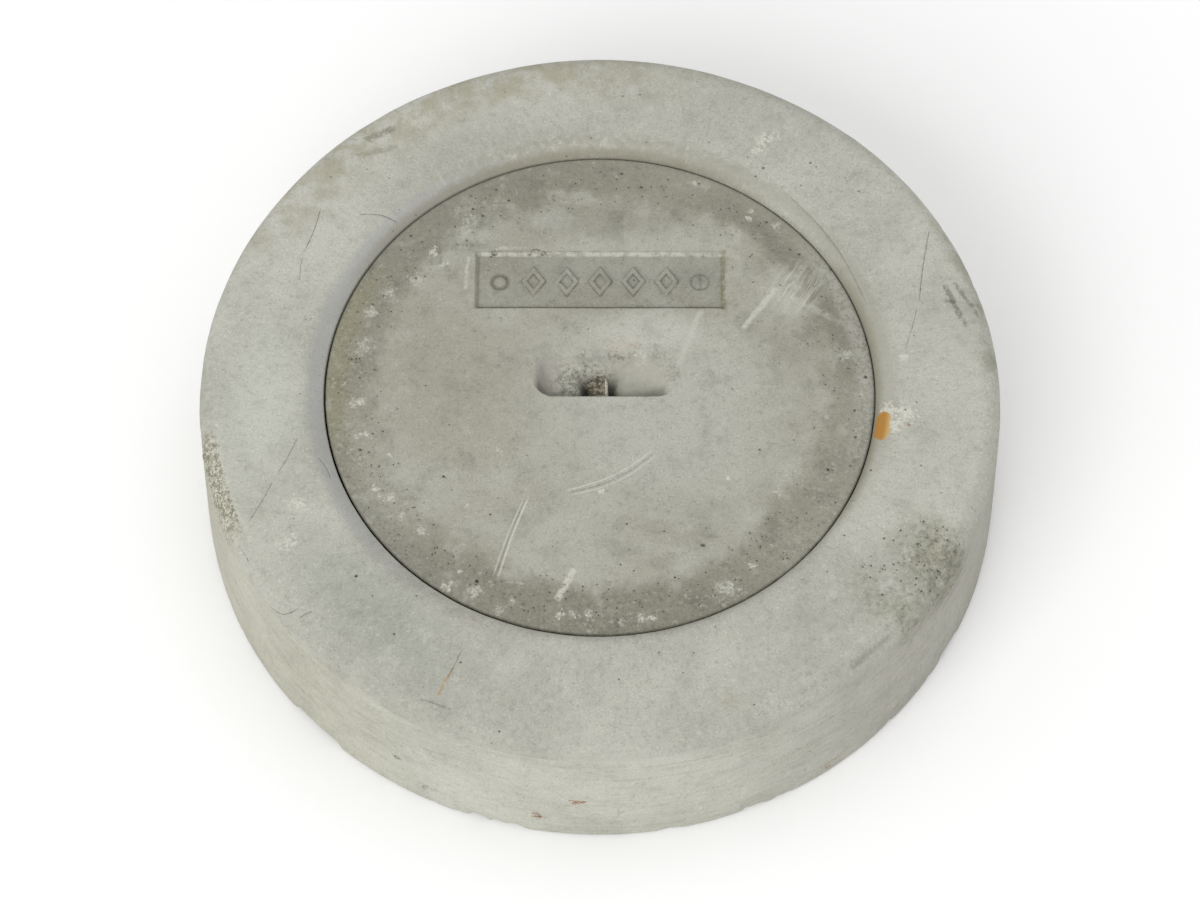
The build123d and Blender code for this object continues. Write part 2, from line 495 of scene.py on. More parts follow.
def ring_flat(x, y):
    """Where a place on the ring's top face lies in the flattened skin."""
    top_start = (HEIGHT - LEDGE_Z) * sqrt(1 + SEAT_SLOPE**2) - LIP_ROUNDING * (2 - pi / 2)
    return Vector((atan2(y, x) % (2 * pi) * RING_REFERENCE, top_start + hypot(x, y) - SEAT_LIP_RADIUS))


def ring_blemishes():
    marks = Blemishes()
    for start, end, bow, width, depth in RING_SCRATCHES:
        pit = 0.9 if width < 2 else 0.3
        marks.groove([ring_flat(*point) for point in bowed(start, end, bow)], width, depth, pit)
    marks.groove([ring_flat(*point) for point in MOULD_LINE], 0.9, 0.4, pit=0.4)
    for x, y, radius in RING_HOLES:
        marks.hole(*ring_flat(x, y), radius, radius * 1.2)
    # fine air holes over the top and the side, and oval ones in the rough patch
    for i in range(110):
        x = dice.uniform(4, 2 * pi * RING_REFERENCE - 4)
        y = dice.uniform(*RING_OUTSIDE)
        marks.hole(x, y, dice.uniform(0.3, 0.5), dice.uniform(0.3, 0.8))
    patch_x, patch_y, patch_reach = ROUGH_PATCH
    for i in range(45):
        angle = dice.uniform(0, 2 * pi)
        reach = patch_reach * sqrt(dice.random())
        x, y = ring_flat(patch_x + reach * cos(angle), patch_y + 0.8 * reach * sin(angle))
        marks.hole(x, y, dice.uniform(0.3, 0.6), dice.uniform(0.4, 1.0), dice.uniform(0.7, 1.6))
    return marks


def ring(material):
    shell = Shell()
    marks = ring_blemishes()
    add_skin(shell, RING_PATH, RING_ZONES, RING_REFERENCE, RING_SEAM_COUNT, ring_relief, marks)
    return shell.object("ring_casting", material)


# Lid: pocket


def wall_line(x):
    """The near edge of the pocket: straight in the middle and turning up round both ends."""
    start, size = (23.0, 9.5) if x < 0 else (28.0, 9.0)
    past = min(max(0.0, abs(x) - start), size)
    curl = size - sqrt(size**2 - past**2) + 3 * max(0.0, abs(x) - start - size)
    return WALL_Y + curl + 0.18 * noise.noise(Vector((x / 5, 0.0, 3.0)))


def bowl_depth(x, y):
    """A scoop whose ends and far side slope up to the face."""
    ends = ease(x, *BOWL_LEFT) * ease(x, *BOWL_RIGHT)
    far = 1 - (max(0.0, y - 4) / (BOWL_FAR_Y - 4)) ** 2
    slope = sqrt(max(far, 0.0)) * (0.55 + 0.45 * ease(y, BOWL_FAR_Y, WALL_Y))
    depth = BOWL_DEPTH * ends * slope if far > 0 else 8 * far
    return soft_positive(depth, 0.8)


def well_share(x, y):
    """1 in the well and 0 outside it. Its mouth is flared, most of all towards the far right."""
    flare = 3.0 + 0.45 * max(0.0, x) + 0.3 * max(0.0, y)
    wobble = 1.1 * noise.noise(Vector((x / 4, y / 4, 7.0)))
    room = min(WELL_HALF_WIDTH - abs(x + 0.5), WELL_FAR_Y - y) + wobble
    return ease(room, -0.5 * flare, flare)


def pocket_depth(x, y):
    bowl = bowl_depth(x, y)
    radius = (WELL_FAR_Y - WALL_Y) / 2
    floor = WELL_DEPTH - radius + sqrt(max(radius**2 - (y - WALL_Y - radius) ** 2, 0.0))
    depth = bowl + (floor - bowl) * well_share(x, y)
    return depth * ease(y - wall_line(x), 0, WALL_RUN)


# Lid: name panel


def lozenge_height(x, y):
    """(height above the panel's floor, painted shade along its flanks)"""
    height = painted_shade = 0.0
    for i in range(LOZENGE_COUNT):
        across = abs(x - lozenge_x(i)) / LOZENGE_HALF_WIDTH
        inset = (1 - across - abs(y - PANEL_Y) / LOZENGE_HALF_LENGTH) * LOZENGE_INRADIUS
        room = min(inset, LOZENGE_BAND - inset)
        height = max(height, LOZENGE_RELIEF * ease(room, 0, LOZENGE_FLANK))
        painted_shade = max(painted_shade, 1 - ease(abs(room), 0.05, 0.33))
    return height, painted_shade


def lozenge_x(i):
    return (i - (LOZENGE_COUNT - 1) / 2) * LOZENGE_PITCH


def imprint_depth(x, y):
    """(depth below the panel's floor, painted shade in the grooves): a ring groove on the left, a
    slotted disc on the right.
    """
    side = 1 if x > 0 else -1
    reach = hypot(x - side * IMPRINT_X, y - PANEL_Y)
    if side < 0:
        groove = 1 - ease(abs(reach - 3.9), 0.3, 1.5)
        return 0.8 * groove, 0.75 * groove
    rim = 1 - ease(abs(reach - IMPRINT_RADIUS + 0.5), 0.15, 0.8)
    slot = 1 - ease(abs(x - IMPRINT_X), 0.3, 0.8)
    inside = 1 - ease(reach, IMPRINT_RADIUS - 0.8, IMPRINT_RADIUS)
    return inside * (0.5 - 0.5 * slot) + 0.25 * rim, 0.6 * rim + 0.4 * slot * inside


def panel_depth(x, y):
    """(depth below the lid's face, painted shade along the panel's edges, the lozenges' flanks and the
    imprints)
    """
    rooms = (PANEL_HALF_LENGTH + y - PANEL_Y, PANEL_HALF_LENGTH - y + PANEL_Y, PANEL_HALF_WIDTH - abs(x))
    near, far, side = (room + 0.12 * noise.noise(Vector((x / 7, y / 7, 1.0))) for room in rooms)
    room = min(near, far, side)
    if room < -0.6:
        return 0.0, 0.0
    depth = soft_positive(room, 0.2)
    depth = PANEL_DEPTH - soft_positive(PANEL_DEPTH - depth, 0.2)
    broken = 0.7 + 0.9 * noise.noise(Vector((x / 5, y / 5, 2.0)))
    height, flank = lozenge_height(x, y)
    dent, rim = imprint_depth(x, y)
    # painted shade along the panel's edges and at their foot, on the lozenges' flanks and in the
    # imprints
    foot = 1 - ease(abs(room - PANEL_DEPTH), 0.1, 0.5)
    if room == far:
        edge = 0.55 * broken * (1 - ease(abs(room), 0.1, 0.5)) + 0.35 * foot
    elif room == near:
        edge = 1 - ease(abs(room - 0.7 * PANEL_DEPTH), 0.6, 1.0)
    else:
        edge = (0.4 if x < 0 else 0.3) * (1 - ease(abs(room - PANEL_DEPTH / 2), 0.8, 1.2)) + 0.3 * foot
    return depth - height + dent, max(0.0, edge, 0.95 * flank * min(1.0, broken), rim)


def lid_height(x, y):
    """(lift of the lid's face, painted shade)"""
    place = Vector((x, y, 40.0))
    reach = hypot(x, y)
    rim = ease(reach, 104, 122)
    lift = 0.22 * ripple(place, 60) + 0.07 * ripple(place, 13)
    lift += (0.02 + 0.05 * rim) * ripple(place, 3.2, 2)
    lift *= 1 - ease(reach, LID_TOP_RADIUS - 3, LID_TOP_RADIUS - LID_ROUNDING)
    if y > 40:
        depth, painted_shade = panel_depth(x, y)
        return lift - depth, painted_shade
    if not (-6 < y < 26 and abs(x) < 43):
        return lift, 0.0
    pocket = pocket_depth(x, y)
    rough = ease(pocket, 0.2, 3) + 0.5 * ease(pocket, 0.02, 0.4)
    slag = 1 - ease(hypot(x + 5, y - 7), 8, 22)
    lift += rough * (0.14 + 0.25 * slag) * ripple(place, 2.4, 4)
    # painted shade: deep in the well, most on its right, and along the foot of the pocket's upright wall
    foot = 1 - ease(y - wall_line(x), 4.2, 9)
    well = (0.1 if x < 0 else 0.85) * ease(pocket, 9.5, 17)
    painted_shade = max(well, 0.6 * foot * ease(pocket, 0.8, 3))
    return lift - pocket, painted_shade


def lid_outlines(marks):
    """The lines that the face's triangles follow: the pocket's wall, the panel and the lozenges."""
    columns = [-32.6 + 69.8 * i / 110 for i in range(111)]
    for i in range(4):
        marks.line([(x, wall_line(x) + WALL_RUN * i / 3) for x in columns], 1.0, 0.3)
    for inset in (-0.45, 0.0, 0.45, PANEL_DEPTH - 0.35, PANEL_DEPTH, PANEL_DEPTH + 0.4):
        x = PANEL_HALF_WIDTH - inset
        low = PANEL_Y - PANEL_HALF_LENGTH + inset
        high = PANEL_Y + PANEL_HALF_LENGTH - inset
        marks.line([(-x, low), (x, low), (x, high), (-x, high), (-x, low)], 0.9, 0.4)
    for i in range(LOZENGE_COUNT):
        for inset in (-0.35, *LOZENGE_EDGES, LOZENGE_BAND + 0.35):
            x = LOZENGE_HALF_WIDTH * (1 - inset / LOZENGE_INRADIUS)
            y = LOZENGE_HALF_LENGTH * (1 - inset / LOZENGE_INRADIUS)
            tips = [(x, 0), (0, y), (-x, 0), (0, -y), (x, 0)]
            marks.line([(lozenge_x(i) + a, PANEL_Y + b) for a, b in tips], 0.8, 0.25)


# Lid: scratches, chips and holes

# Scratches on the lid's face: route, width, depth, how dark, how pale
LID_SCRATCHES = (
    (bowed((-17.5, -57), (26, -34), -3.6, 14), 1.1, 0.2, 0.0, 1.0),
    (bowed((-16, -58.2), (27, -35.4), -3.8, 14), 0.5, 0.25, 0.7, 0.0),
    (bowed((-14.5, -59.4), (28, -36.6), -4.0, 14), 0.9, 0.2, 0.0, 0.9),
    (bowed((-49.0, -105), (-34.5, -60), 0.8), 1.4, 0.2, 0.0, 1.0),
    (bowed((-50.2, -104.5), (-35.7, -60.5), 0.8), 0.5, 0.25, 0.5, 0.0),
    (bowed((-51.4, -104), (-36.9, -61), 0.8), 0.9, 0.2, 0.0, 0.9),
    (bowed((-46, -107), (-36, -107.5), 0.5), 0.6, 0.15, 0.0, 0.8),
    (bowed((-37.2, 77.4), (-27.0, 77.4), 3.4, 10), 1.2, 0.9, 1.0, 0.0),
    (bowed((-36.3, 77.3), (-27.8, 77.3), 2.7, 10), 1.0, 0.9, 1.0, 0.0),
    (bowed((-29.0, 79.9), (-26.2, 77.4), 0.3), 0.9, 0.6, 1.0, 0.0),
)

# Broken places: x, y, radius, depth, how much longer they are along x
LID_CHIPS = (
    (-53.0, 79.0, 1.2, 1.4, 1.7),
    (-54.6, 77.6, 0.6, 0.8, 1.2),
    (49.6, -86.7, 1.2, 0.5, 1.4),
)

# Air holes that stand out: x, y, radius
LID_HOLES = (
    (-76, -49, 0.9), (-59, -106, 1.1), (-117, -34, 0.8), (-53, -70, 0.6), (36, -104, 0.7),
    (31, -79, 0.5), (10, -97, 0.5), (13, -75, 0.6), (111, -45, 0.9), (78, -34, 0.6),
    (125, -12, 0.6), (125, -27, 0.7), (-46, 110, 0.7), (-64, 105, 0.7), (-92, 64, 0.6),
    (-95, 89, 0.6), (-59, 101, 0.8), (11, 126, 0.7), (21, 118, 0.7), (84, 97, 0.7),
    (100, 78, 0.7), (131, 7, 1.0), (17, 64, 0.5), (-20, 62, 0.5),
)


def in_features(x, y):
    in_panel = abs(x) < PANEL_HALF_WIDTH + 3 and abs(y - PANEL_Y) < PANEL_HALF_LENGTH + 3
    return in_panel or (abs(x) < 42 and -7 < y < 25)


def lid_blemishes():
    marks = Blemishes()
    lid_outlines(marks)
    for route, width, depth, dark, pale in LID_SCRATCHES:
        marks.groove(route, width, depth, dark, pale)
    for x, y, radius, depth, stretch in LID_CHIPS:
        marks.hole(x, y, radius, depth, stretch)
    for x, y, radius in LID_HOLES:
        marks.hole(x, y, radius, 1.2 * radius)
    # fine air holes, most of them in the rim
    for i in range(300):
        angle = dice.uniform(0, 2 * pi)
        reach = dice.uniform(106, 131) if i < 260 else 124 * sqrt(dice.random())
        x, y = reach * cos(angle), reach * sin(angle)
        if not in_features(x, y) and not marks.blocks(x, y):
            marks.hole(x, y, dice.uniform(0.28, 0.5), dice.uniform(0.3, 0.7))
    return marks


def lid_relief(place):
    """The lid's side and lower edge: slightly uneven, with a nibbled upper edge."""
    below = LID_FACE_Z - place.z
    nibble = ease(ripple(Vector((place.x, place.y, 0)), 12, 3), 0.35, 0.9) * (1 - ease(below, 1, 5))
    return (0.12 * ripple(place, 20) - 0.5 * nibble) * ease(below, 0.1, 2), 0.0


def underside_height(x, y):
    """The lid's underside was the open face of the mould: struck off roughly, then smoothed."""
    reach = hypot(x, y)
    place = Vector((x * 0.35, y, 9.0))
    flat = 1 - ease(reach, LID_BASE_RADIUS - 18, LID_BASE_RADIUS - 7)
    return flat * (0.5 * ripple(place, 22, 4) - 0.5), 0.0


LID_RIM_COUNT = 600  # points round each edge of the lid's side
LID_ZONES = ((3, 0.8), (37, 2.4), (7, 2.0))  # (length, spacing) down the side: edge, side, lower edge


def lid(material):
    shell = Shell()
    rim = LID_TOP_RADIUS - LID_ROUNDING - 0.6
    base_rim = LID_BASE_RADIUS - 6
    everywhere = (-rim, rim, -rim, rim)
    round_panel = (-66, 66, 44, 84)
    round_pocket = (-42, 43, -8, 26)
    boxes = ((*everywhere, 1.55), (*round_panel, 0.85), (*round_pocket, 0.6))
    add_disc(shell, rim, LID_RIM_COUNT, LID_FACE_Z, boxes, lid_height, lid_blemishes(), 1)
    profile = (
        (rim, LID_FACE_Z, 0),
        (LID_TOP_RADIUS, LID_FACE_Z, LID_ROUNDING),
        (LID_BASE_RADIUS, LEDGE_Z, LID_BASE_ROUNDING),
        (base_rim, LEDGE_Z, 0),
    )
    side_holes = Blemishes()
    for i in range(60):
        x, y = dice.uniform(4, 2 * pi * rim - 4), dice.uniform(9, 36)
        side_holes.hole(x, y, dice.uniform(0.4, 0.9), 0.7)
    add_skin(shell, Path(profile), LID_ZONES, rim, LID_RIM_COUNT, lid_relief, side_holes)
    boxes = ((*everywhere, 3.2),)
    add_disc(shell, base_rim, LID_RIM_COUNT, LEDGE_Z, boxes, underside_height, Blemishes(), -1)
    return shell.object("lid_casting", material)


# Mortar that ran onto the lifting bar


def bar_crust(material):
    """A lumpy coat on the bar's left side, thinning to nothing on its right."""
    shell = Shell()
    start, end = WALL_Y - 1.5, WELL_FAR_Y + 2.5
    rows, columns = 56, 64
    grid = []
    for row in range(rows + 1):
        y = start + (end - start) * row / rows
        ids = []
        for column in range(columns):
            angle = 2 * pi * column / columns
            left = 0.5 - 0.5 * cos(angle + radians(15))  # 1 on the left, 0 on the right
            place = Vector((cos(angle) * 4, y, sin(angle) * 4))
            coat = (0.1 + 1.4 * left) * (0.7 + 1.6 * ripple(place, 2.4, 4))
            bare = ease(cos(angle), 0.55, 0.68) * (1 - ease(y, 10.5, 13))
            radius = BAR_RADIUS - 0.6 * bare + max(0.0, coat) * (1 - bare)
            ids.append(shell.point(Vector((radius * cos(angle), y, BAR_Z + radius * sin(angle)))))
        grid.append(ids)
    caps = [[shell.point(Vector((0, y, BAR_Z)))] * columns for y in (start, end)]
    grid = [caps[0], *grid, caps[1]]
    for lower, upper in zip(grid, grid[1:]):
        for i in range(columns):
            shell.face(lower[i - 1], upper[i - 1], upper[i], lower[i])
    return shell.object("bar_crust", material)


# Materials

LIGHT_LEVEL = 1.1  # the studio's light on a level face, where 1 shows a surface at its own colour

# Tones are 0 to 255 screen colours, as they show on a level face
CHALK = (216, 214, 202)
PALE = (202, 201, 191)
SOOT = (96, 94, 82)
# HOLLOW is painted shade, for the holes, chips and dark grooves
HOLLOW = (66, 64, 54)
RUST = (146, 92, 54)
TAN = (178, 150, 112)
OCHRE = (158, 151, 122)


def shade(tone):
    """The surface colour that shows as a tone on a level face."""
    linear = (((value / 255 + 0.055) / 1.055) ** 2.4 / LIGHT_LEVEL for value in tone)
    return (*linear, 1)


class Graph:
    """A material's node tree, measured in millimetres. Calls that measure or mix return a socket.

    paint and scale change the colour built up so far, as far as the product of their shares says.
    """

    def __init__(self, name):
        self.material = bpy.data.materials.new(name)
        self.material.use_nodes = True
        self.tree = self.material.node_tree
        self.tree.nodes.clear()
        place = self.node("ShaderNodeTexCoord").outputs["Object"]
        self.place = self.vector("MULTIPLY", place, (1 / MM,) * 3)
        self.x, self.y, self.z = self.node("ShaderNodeSeparateXYZ", {0: self.place}).outputs
        flat = self.vector("MULTIPLY", self.place, (1, 1, 0))
        self.reach = self.vector("LENGTH", flat)
        self.way = self.vector("NORMALIZE", flat)  # outwards from the axis
        shift = self.vector("SUBTRACT", self.noise(7.0, 5, 5.0, output="Color"), (0.5,) * 3)
        self.wobbly = self.vector("ADD", self.place, self.vector("MULTIPLY", shift, (3.0,) * 3))
        self.ragged = self.vector("ADD", self.place, self.vector("MULTIPLY", shift, (16.0,) * 3))
        self.salt = self.noise(2.2, 5, 7.0, 0.75)
        self.frayed = self.times(self.add(self.salt, -0.45), 5.0)

    def node(self, kind, inputs=None, **settings):
        node = self.tree.nodes.new(kind)
        for key, value in settings.items():
            setattr(node, key, value)
        for key, value in (inputs or {}).items():
            if isinstance(value, bpy.types.NodeSocket):
                self.tree.links.new(value, node.inputs[key])
            else:
                node.inputs[key].default_value = value
        return node

    def math(self, operation, a, b=0.0):
        return self.node("ShaderNodeMath", {0: a, 1: b}, operation=operation).outputs[0]

    def add(self, *values):
        return reduce(lambda a, b: self.math("ADD", a, b), values)

    def times(self, *values):
        return reduce(lambda a, b: self.math("MULTIPLY", a, b), values)

    def vector(self, operation, a, b=(0, 0, 0)):
        node = self.node("ShaderNodeVectorMath", {0: a, 1: b}, operation=operation)
        return node.outputs["Value" if operation in ("LENGTH", "DOT_PRODUCT", "DISTANCE") else "Vector"]

    def join(self, x, y, z=0.0):
        return self.node("ShaderNodeCombineXYZ", {0: x, 1: y, 2: z}).outputs[0]

    def turned(self, place, turn, along, across):
        """A place measured along and across a direction, in units of those two lengths."""
        c, s = cos(radians(turn)), sin(radians(turn))
        u = self.vector("DOT_PRODUCT", place, (c / along, s / along, 0))
        v = self.vector("DOT_PRODUCT", place, (-s / across, c / across, 0))
        return self.join(u, v)

    def remap(self, value, low, high, new_low=0.0, new_high=1.0):
        inputs = {"Value": value, 1: low, 2: high, 3: new_low, 4: new_high}
        return self.node("ShaderNodeMapRange", inputs, interpolation_type="SMOOTHSTEP").outputs[0]

    def noise(self, size, detail=3.0, shift=0.0, rough=0.6, place=None, output="Fac"):
        """Noise with features of about size. Its values gather round 0.5."""
        scaled = self.vector("MULTIPLY", place or self.place, (1 / size,) * 3)
        moved = self.vector("ADD", scaled, (shift, 0.7 * shift, 1.3 * shift))
        inputs = {"Vector": moved, "Scale": 1.0, "Detail": detail, "Roughness": rough}
        return self.node("ShaderNodeTexNoise", inputs).outputs[output]

    def smears(self, outwards, around, detail=4.0, shift=0.0):
        """Noise drawn out towards and round the axis: its features are about so long each way."""
        circle = self.vector("MULTIPLY", self.way, (170 / around,) * 3)
        height = self.math("SUBTRACT", self.reach, self.z)
        place = self.vector("ADD", circle, self.join(shift, 0.0, self.times(height, 1 / outwards)))
        return self.noise(1.0, detail, shift, 0.6, place)

    def brushed(self, x, y, half_length, half_width, turn):
        """Long parallel scrapes inside an oval patch."""
        lines = self.noise(1.0, 3, 2.0, 0.6, self.turned(self.wobbly, turn, 30, 1.1))
        patch = self.oval(x, y, half_length, half_width, turn, 0.7)
        return self.times(self.remap(lines, 0.36, 0.66), patch)

    def dots(self, cell, radius, share):
        """Round dots in a share of the cells of a random grid."""
        voronoi = self.node("ShaderNodeTexVoronoi", {"Vector": self.place, "Scale": 1 / cell})
        chance = self.node("ShaderNodeSeparateColor", {0: voronoi.outputs["Color"]}).outputs[0]
        near = self.remap(voronoi.outputs["Distance"], radius / cell, 0.5 * radius / cell)
        return self.times(near, self.math("LESS_THAN", chance, share))

    def spot(self, x, y, z, reach, soft=0.5):
        """1 at a place and 0 beyond reach from it, with a frayed edge."""
        distance = self.vector("DISTANCE", self.wobbly, (x, y, z))
        return self.remap(self.add(self.times(distance, 1 / reach), self.frayed), 1, 1 - soft)

    def oval(self, x, y, half_length, half_width, turn, soft):
        """As spot, for a long patch on a level face, turned by an angle in degrees."""
        offset = self.vector("SUBTRACT", self.ragged, (x, y, 0))
        reach = self.vector("LENGTH", self.turned(offset, turn, half_length, half_width))
        return self.remap(reach, 1, 1 - soft)

    def stroke(self, start, end, half_width):
        """1 on a straight line between two places and 0 beside it."""
        along = Vector(end) - Vector(start)
        offset = self.vector("SUBTRACT", self.wobbly, start)
        share = self.vector("DOT_PRODUCT", offset, tuple(along / along.length_squared))
        share = self.node("ShaderNodeClamp", {0: share}).outputs[0]
        inputs = {0: tuple(along), "Scale": share}
        foot = self.node("ShaderNodeVectorMath", inputs, operation="SCALE").outputs[0]
        return self.remap(self.vector("DISTANCE", offset, foot), half_width, 0.3 * half_width)

    def sector(self, middle, half):
        """1 within an angle round the axis, in degrees, and 0 well outside it."""
        facing = self.vector("DOT_PRODUCT", self.way, (cos(radians(middle)), sin(radians(middle)), 0))
        return self.remap(facing, cos(radians(min(half * 1.4, 175))), cos(radians(half * 0.6)))

    def band(self, low, high, soft, along=None):
        """1 between two radii, or between two values along something else."""
        along = along or self.reach
        rise = self.remap(along, low - soft, low + soft)
        return self.times(rise, self.remap(along, high + soft, high - soft))

    def attribute(self, name):
        return self.node("ShaderNodeAttribute", attribute_name=name).outputs["Fac"]

    def mix(self, share, a, b, blend="MIX"):
        # sockets 6 and 7 take the two colours, and 2 gives the mixed one
        node = self.node("ShaderNodeMix", {0: share, 6: a, 7: b}, data_type="RGBA", blend_type=blend)
        return node.outputs[2]

    def between(self, share, a, b):
        """A colour between two tones."""
        return self.mix(share, shade(a), shade(b))

    def paint(self, tone, *shares):
        """Covers the colour with a tone, or with the colour on a socket."""
        cover = shade(tone) if isinstance(tone, tuple) else tone
        self.colour = self.mix(self.times(*shares), self.colour, cover)

    def scale(self, factor, *shares):
        """Multiplies the colour by a number, or by one each for red, green and blue."""
        level = factor if isinstance(factor, tuple) else (factor,) * 3
        self.colour = self.mix(self.times(*shares), self.colour, (*level, 1), "MULTIPLY")

    def finish(self, rough, height, depth, metal=0.0, gloss=0.2):
        bump = self.node("ShaderNodeBump", {"Height": height, "Distance": depth * MM, "Strength": 1.0})
        inputs = {"Base Color": self.colour, "Roughness": rough, "Metallic": metal}
        inputs |= {"Specular IOR Level": gloss, "Normal": bump.outputs[0]}
        shader = self.node("ShaderNodeBsdfPrincipled", inputs)
        self.node("ShaderNodeOutputMaterial", {"Surface": shader.outputs[0]})
        return self.material


def paint_clouds(g, clouds, soft, *where):
    for *oval, strength, tone in clouds:
        g.paint(tone, g.oval(*oval, soft), strength, *where)


def paint_marks(g, spots, lines):
    """Frayed coloured spots and broken coloured lines."""
    flecks = g.add(0.3, g.remap(g.noise(1.4, 3, 14.0, 0.7), 0.42, 0.54, 0.0, 0.7))
    breaks = g.remap(g.salt, 0.36, 0.52)
    for *spot, tone, strength in spots:
        g.paint(tone, g.spot(*spot), flecks, strength)
    for *line, tone, strength in lines:
        g.paint(tone, g.stroke(*line), breaks, strength)


# Marks on the ring that are only colour: x, y, z, reach, colour, strength
RING_SPOTS = (
    (142, -15, 94, 7.0, CHALK, 1.0),
    (144, -23, 94, 6.0, CHALK, 1.0),
    (150, -16, 95, 7.0, CHALK, 0.9),
    (150, -10, 95, 4.0, PALE, 0.8),
    (151, -23, 95, 1.2, RUST, 0.7),
    (150, 15, 95, 3.6, CHALK, 0.8),
    (147, 22, 95, 2.5, PALE, 0.8),
    (80, 137, 95, 4.5, CHALK, 0.8),
    (84, 143, 95, 5.5, CHALK, 0.9),
    (90, 146, 95, 4.0, PALE, 0.8),
    (-60, -128, 94, 1.8, RUST, 0.6),
    (-62, -135, 95, 1.8, CHALK, 0.6),
    (-11, -198, 38, 5.5, RUST, 0.7),
    (-9, -198, 38, 3.0, RUST, 1.0),
    (-30, -197, 19, 4.2, RUST, 0.9),
    (-30, -197, 19, 2.4, SOOT, 0.8),
    (110, -164, 9, 5.5, RUST, 0.8),
    (109, -164, 8, 3.0, SOOT, 0.8),
    (-98, -173, 34, 3.0, SOOT, 0.8),
    (-99, -172, 45, 3.0, SOOT, 0.4),
    (-84, -179, 16, 5.0, SOOT, 0.6),
    (62, -172, 94, 6.0, OCHRE, 0.4),
    (9, -198, 27, 3.0, SOOT, 0.35),
    (40, -196, 37, 3.0, SOOT, 0.35),
    (62, -182, 60, 2.6, SOOT, 0.3),
    (-30, -151, 95, 3.5, SOOT, 0.18),
    (28, -147, 95, 1.6, SOOT, 0.3),
    (-146, -66, 95, 6.0, CHALK, 0.9),
    (-150, -88, 95, 6.0, CHALK, 0.8),
    (97, -172, 90, 4.0, SOOT, 0.25),
)

# Lines on the ring that are only colour: start, end, half width, colour, strength
RING_LINES = (
    ((172, 56, 95), (181, 34, 94), 2.2, SOOT, 0.6),
    ((177, 58, 95), (187, 40, 93), 1.8, SOOT, 0.6),
    ((171, 48, 95), (189, 46, 93), 1.5, SOOT, 0.5),
    ((-119, 143, 95), (-106, 150, 95), 3.0, SOOT, 0.45),
    ((-122, 134, 95), (-104, 139, 95), 2.5, SOOT, 0.25),
    ((-70, -155, 95), (-76, -168, 95), 1.0, TAN, 0.8),
    ((121, -154, 95), (139, -138, 95), 4.6, (140, 135, 117), 0.9),
    ((-128, 148, 95), (-116, 140, 95), 1.4, CHALK, 0.35),
    ((-84, -171, 95), (-70, -176, 94), 1.0, SOOT, 0.4),
)

# Large soft clouds on the ring's top: x, y, half length, half width, turn, strength, colour
RING_CLOUDS = (
    (-108, -124, 80, 34, -45, 0.8, (169, 170, 159)),
    (-148, 78, 64, 34, 62, 0.7, (198, 198, 189)),
    (-30, 166, 60, 26, 8, 0.7, (194, 194, 184)),
    (166, 10, 60, 26, 90, 0.6, (191, 191, 181)),
    (130, 108, 50, 24, -45, 0.5, (180, 180, 169)),
    (118, -118, 60, 30, 45, 0.5, (176, 176, 166)),
    (-166, -10, 70, 30, 90, 0.8, (199, 200, 190)),
)


